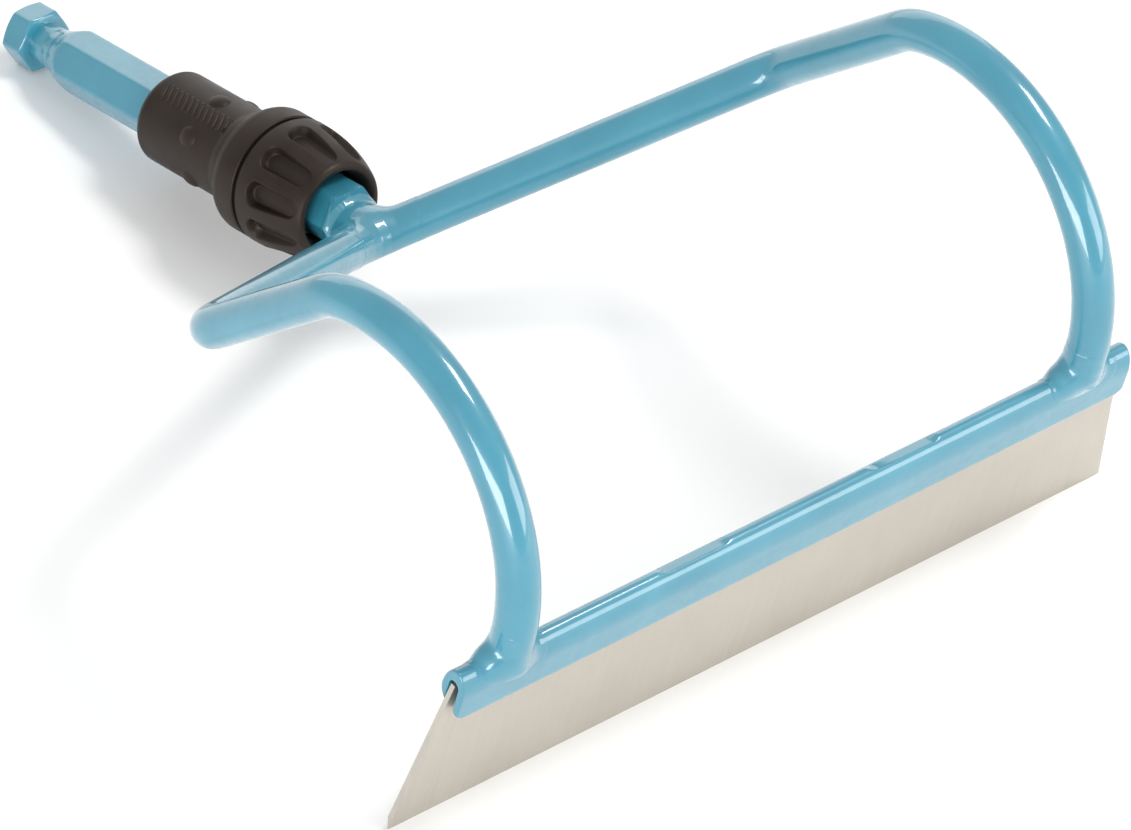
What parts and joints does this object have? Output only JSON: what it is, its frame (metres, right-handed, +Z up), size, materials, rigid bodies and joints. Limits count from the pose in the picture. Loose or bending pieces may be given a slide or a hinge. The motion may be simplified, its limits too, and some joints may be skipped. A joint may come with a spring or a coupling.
{
  "type": "stirrup hoe head",
  "caption": "Stirrup hoe head: bent round-bar bow carrying a blade in a slotted tube, with a hexagonal shank and a turnable clamping coupling for a handle.",
  "frame": {"origin": "middle of the bounding box's base, on the surface the tool lies on", "axes": "+X along the blade, +Y toward the tail of the shank, +Z up; the tool lies on its cutting edge and the tail of the shank, so the shank falls 9.9 degrees toward +Y"},
  "size_m": [0.217, 0.2838, 0.1114],
  "materials": {
    "shank": "glossy turquoise powder coat",
    "bow": "glossy turquoise powder coat",
    "blade_tube": "glossy turquoise powder coat",
    "blade": "bare rolled strip with a satin grain",
    "weld_neck": "glossy turquoise powder coat",
    "weld_left": "glossy turquoise powder coat",
    "weld_right": "glossy turquoise powder coat",
    "clamp_sleeve": "satin black moulding",
    "thrust_washer": "smooth dark washer",
    "snap_ring": "spring wire",
    "grip_nut": "satin black moulding",
    "collet": "grey glass-filled moulding"
  },
  "bodies": {
    "frame": {"shank": "shank", "bow": "bow", "blade_tube": "blade_tube", "blade": "blade", "weld_neck": "weld_neck", "weld_left": "weld_left", "weld_right": "weld_right"},
    "sleeve": {"clamp_sleeve": "clamp_sleeve", "thrust_washer": "thrust_washer", "snap_ring": "snap_ring"},
    "nut": {"grip_nut": "grip_nut"},
    "clamp": {"collet": "collet"}
  },
  "joints": [
    {"name": "coupling_slide", "type": "slide", "parent": "frame", "child": "sleeve", "axis": [0, 0.985, -0.1723], "range_m": [-0.002, 0.034]},
    {"name": "nut_turn", "type": "hinge", "parent": "sleeve", "child": "nut", "pos_m": [0, 0.03588, 0.02524], "axis": [0, 0.985, -0.1723], "range_deg": [0, 540]},
    {"name": "collet_draw", "type": "slide", "parent": "sleeve", "child": "clamp", "axis": [0, -0.985, 0.1723], "range_m": [0, 0.003]}
  ],
  "couplings": [
    {"joint": "nut_turn", "follows": "collet_draw", "rad_per_m": 3141.6}
  ]
}
